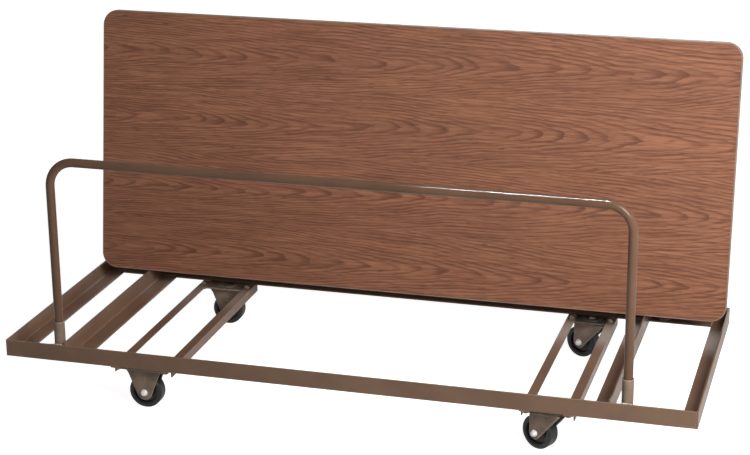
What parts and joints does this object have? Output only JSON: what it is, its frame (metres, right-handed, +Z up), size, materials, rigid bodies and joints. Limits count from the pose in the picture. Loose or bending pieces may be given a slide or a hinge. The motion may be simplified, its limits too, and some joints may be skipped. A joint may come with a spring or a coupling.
{
  "type": "banquet table trolley",
  "caption": "Low angle-iron trolley on casters with plug-in tube handles, carrying a folded wood-grain banquet table on edge.",
  "frame": {"origin": "floor level, at the middle of the part's outline seen from above", "axes": "+X along the tray from its rigid casters to its swivel casters, +Y from the front rail to the rear rail, +Z up"},
  "size_m": [1.842, 0.73, 0.9233],
  "materials": {
    "brown_enamel": "satin brown baked enamel",
    "zinc": "bright zinc plate",
    "tyre_rubber": "black rubber",
    "wheel_plastic": "black moulded plastic",
    "board_core": "plywood",
    "wood_laminate": "walnut-grain laminate",
    "back_sheet": "plain brown backing sheet",
    "edge_vinyl": "dark brown vinyl edge band",
    "leg_enamel": "brown baked enamel",
    "foot_rubber": "black rubber"
  },
  "bodies": {
    "trolley_frame": {"front_rail": "brown_enamel", "rear_rail": "brown_enamel", "left_end_rail": "brown_enamel", "right_end_rail": "brown_enamel", "left_table_bearer": "brown_enamel", "right_table_bearer": "brown_enamel", "left_outer_caster_bearer": "brown_enamel", "left_inner_caster_bearer": "brown_enamel", "right_inner_caster_bearer": "brown_enamel", "right_outer_caster_bearer": "brown_enamel", "front_left_socket": "brown_enamel", "front_right_socket": "brown_enamel", "rear_left_socket": "brown_enamel", "rear_right_socket": "brown_enamel", "rear_handle": "brown_enamel", "front_left_yoke": "brown_enamel", "rear_left_yoke": "brown_enamel", "front_right_swivel_plate": "brown_enamel", "rear_right_swivel_plate": "brown_enamel", "front_right_ball_ring": "zinc", "rear_right_ball_ring": "zinc", "front_right_kingpin": "zinc", "rear_right_kingpin": "zinc", "front_left_axle_bolt": "zinc", "rear_left_axle_bolt": "zinc", "front_left_axle_nut": "zinc", "rear_left_axle_nut": "zinc", "caster_bolts": "zinc", "caster_nuts": "zinc"},
    "front_handle": {"front_handle": "brown_enamel"},
    "table": {"table_core": "board_core", "table_face": "wood_laminate", "table_back_sheet": "back_sheet", "table_edge_band": "edge_vinyl", "left_leg_frame": "leg_enamel", "right_leg_frame": "leg_enamel", "leg_clamps": "zinc", "leg_feet": "foot_rubber"},
    "front_right_swivel": {"front_right_fork": "brown_enamel", "front_right_axle_bolt": "zinc", "front_right_axle_nut": "zinc"},
    "rear_right_swivel": {"rear_right_fork": "brown_enamel", "rear_right_axle_bolt": "zinc", "rear_right_axle_nut": "zinc"},
    "front_left_wheel": {"front_left_bush": "zinc", "front_left_wheel_core": "wheel_plastic", "front_left_tyre": "tyre_rubber"},
    "rear_left_wheel": {"rear_left_bush": "zinc", "rear_left_wheel_core": "wheel_plastic", "rear_left_tyre": "tyre_rubber"},
    "front_right_wheel": {"front_right_bush": "zinc", "front_right_wheel_core": "wheel_plastic", "front_right_tyre": "tyre_rubber"},
    "rear_right_wheel": {"rear_right_bush": "zinc", "rear_right_wheel_core": "wheel_plastic", "rear_right_tyre": "tyre_rubber"}
  },
  "joints": [
    {"name": "front_handle_lift", "type": "slide", "parent": "trolley_frame", "child": "front_handle", "axis": [0, 0, 1], "range_m": [0, 0.15]},
    {"name": "table_lift", "type": "slide", "parent": "trolley_frame", "child": "table", "axis": [0, 0.1392, 0.9903], "range_m": [0, 0.6]},
    {"name": "front_right_swivel_turn", "type": "hinge", "parent": "trolley_frame", "child": "front_right_swivel", "pos_m": [0.545, -0.316, 0.0455], "axis": [0, 0, 1], "continuous": true},
    {"name": "rear_right_swivel_turn", "type": "hinge", "parent": "trolley_frame", "child": "rear_right_swivel", "pos_m": [0.545, 0.316, 0.0455], "axis": [0, 0, 1], "continuous": true},
    {"name": "front_left_wheel_spin", "type": "hinge", "parent": "trolley_frame", "child": "front_left_wheel", "pos_m": [-0.539, -0.316, 0.0455], "axis": [0, 1, 0], "continuous": true},
    {"name": "rear_left_wheel_spin", "type": "hinge", "parent": "trolley_frame", "child": "rear_left_wheel", "pos_m": [-0.539, 0.316, 0.0455], "axis": [0, 1, 0], "continuous": true},
    {"name": "front_right_wheel_spin", "type": "hinge", "parent": "front_right_swivel", "child": "front_right_wheel", "pos_m": [0.52005, -0.30329, 0.0455], "axis": [0.454, 0.891, 0], "continuous": true},
    {"name": "rear_right_wheel_spin", "type": "hinge", "parent": "rear_right_swivel", "child": "rear_right_wheel", "pos_m": [0.51904, 0.32649, 0.0455], "axis": [0.3746, 0.9272, 0], "continuous": true}
  ]
}
